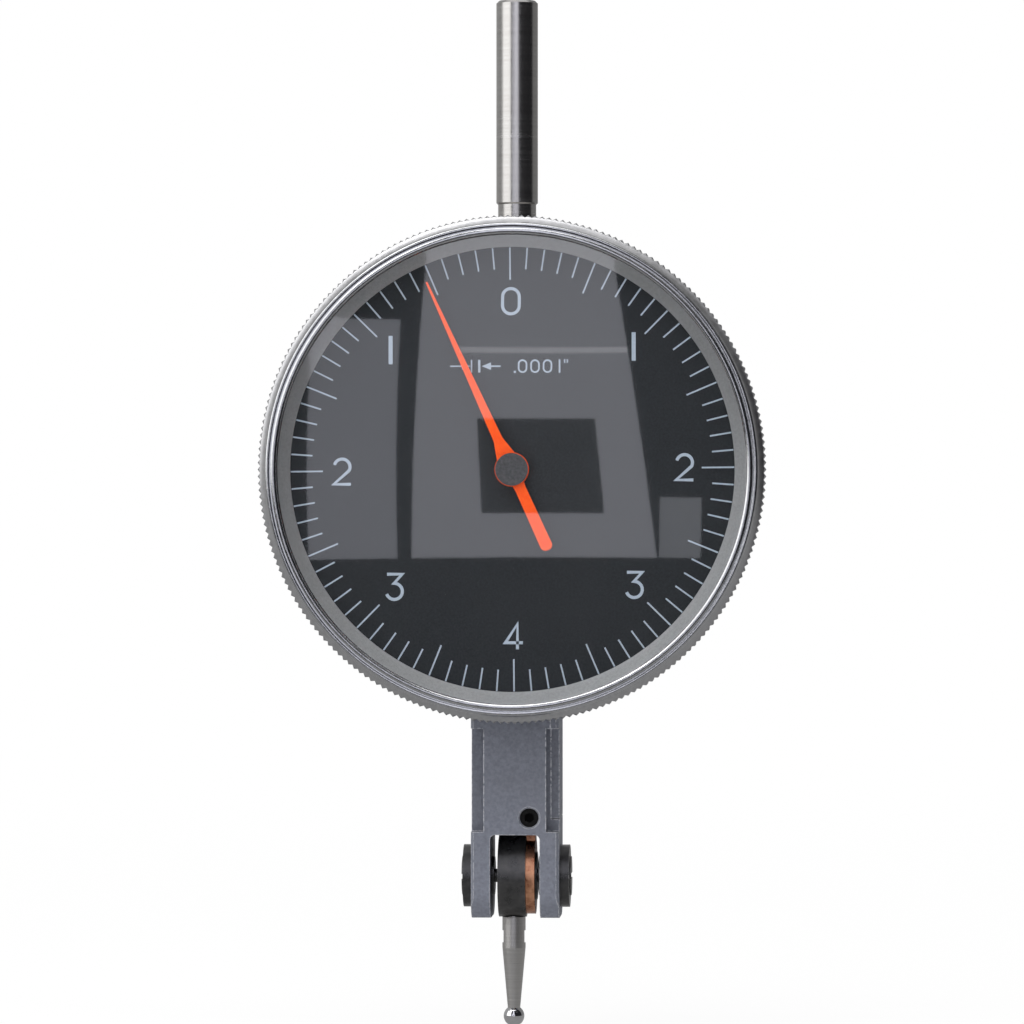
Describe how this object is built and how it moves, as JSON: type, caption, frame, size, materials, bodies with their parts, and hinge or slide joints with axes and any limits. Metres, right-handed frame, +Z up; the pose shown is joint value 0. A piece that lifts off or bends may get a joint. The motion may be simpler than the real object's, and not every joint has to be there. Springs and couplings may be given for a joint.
{
  "type": "dial test indicator",
  "caption": "Lever-type dial test indicator with a knurled rotating bezel, balanced dial, ball-tipped swivelling contact point and a round mounting stem.",
  "frame": {"origin": "middle of the mounting stem's straight grip, on its axis", "axes": "+Z up along the stem away from the dial, -Y out of the dial's face, +X to the right as the dial is read"},
  "size_m": [0.048, 0.019, 0.0986],
  "materials": {
    "paint": "textured semi-gloss",
    "black_steel": "black oxide",
    "ground_steel": "ground",
    "steel": "polished",
    "stylus_steel": "satin",
    "ball_chrome": "polished",
    "bronze": "turned",
    "spring_bronze": "polished",
    "brass_plate": "satin",
    "pointer_orange": "semi-gloss",
    "hub_steel": "brushed",
    "case_steel": "satin",
    "bezel_chrome": "satin",
    "crystal": "clear",
    "dial_black": "matt"
  },
  "bodies": {
    "frame": {"housing": "paint", "side_cover": "paint", "cover_screws": "black_steel", "stop_screw": "black_steel", "clamp_block": "ground_steel", "clamp_jaw": "ground_steel", "clamp_screw": "black_steel", "stem": "ground_steel", "bearing_screws": "black_steel", "lock_nuts": "black_steel", "rear_bridge": "brass_plate", "front_bridge": "brass_plate", "hairspring_stud": "brass_plate", "case_cup": "case_steel"},
    "bezel_unit": {"bezel": "bezel_chrome", "bezel_clips": "steel", "crystal": "crystal", "dial_face": "dial_black"},
    "lever_unit": {"contact_lever": "bronze", "lever_pin": "steel", "pivot_shaft": "black_steel"},
    "contact_unit": {"contact_holder": "black_steel", "stylus": "stylus_steel", "stylus_ball": "ball_chrome"},
    "sector_unit": {"sector_arbor": "steel", "sector_wheel": "brass_plate", "sector_fork": "brass_plate"},
    "crown_unit": {"crown_arbor": "steel", "crown_pinion": "steel", "crown_wheel": "brass_plate"},
    "pointer_unit": {"pointer_arbor": "steel", "pointer_pinion": "steel", "hairspring_collet": "brass_plate", "hairspring": "spring_bronze", "pointer": "pointer_orange", "pointer_hub": "hub_steel"}
  },
  "joints": [
    {"name": "lever_pivot", "type": "hinge", "parent": "frame", "child": "lever_unit", "pos_m": [0, 0, -0.07435], "axis": [1, 0, 0], "range_deg": [-0.47, 0.47], "stiffness_Nm_per_rad": 0.002},
    {"name": "contact_swivel", "type": "hinge", "parent": "lever_unit", "child": "contact_unit", "pos_m": [0, 0, -0.07435], "axis": [1, 0, 0], "range_deg": [-100, 100]},
    {"name": "sector_turn", "type": "hinge", "parent": "frame", "child": "sector_unit", "pos_m": [0, 0, -0.04722], "axis": [1, 0, 0], "range_deg": [-2.4, 2.4]},
    {"name": "crown_turn", "type": "hinge", "parent": "frame", "child": "crown_unit", "pos_m": [0, -0.00175, -0.03535], "axis": [1, 0, 0], "range_deg": [-33, 33]},
    {"name": "pointer_turn", "type": "hinge", "parent": "frame", "child": "pointer_unit", "pos_m": [0, 0, -0.03535], "axis": [0, 1, 0], "range_deg": [-200, 200], "deforming": ["hairspring"]},
    {"name": "bezel_turn", "type": "hinge", "parent": "frame", "child": "bezel_unit", "pos_m": [0, 0, -0.03535], "axis": [0, 1, 0], "continuous": true}
  ],
  "couplings": [
    {"joint": "sector_turn", "follows": "lever_pivot", "ratio": -4.9695},
    {"joint": "crown_turn", "follows": "lever_pivot", "ratio": 69.573},
    {"joint": "pointer_turn", "follows": "lever_pivot", "ratio": 417.44}
  ]
}
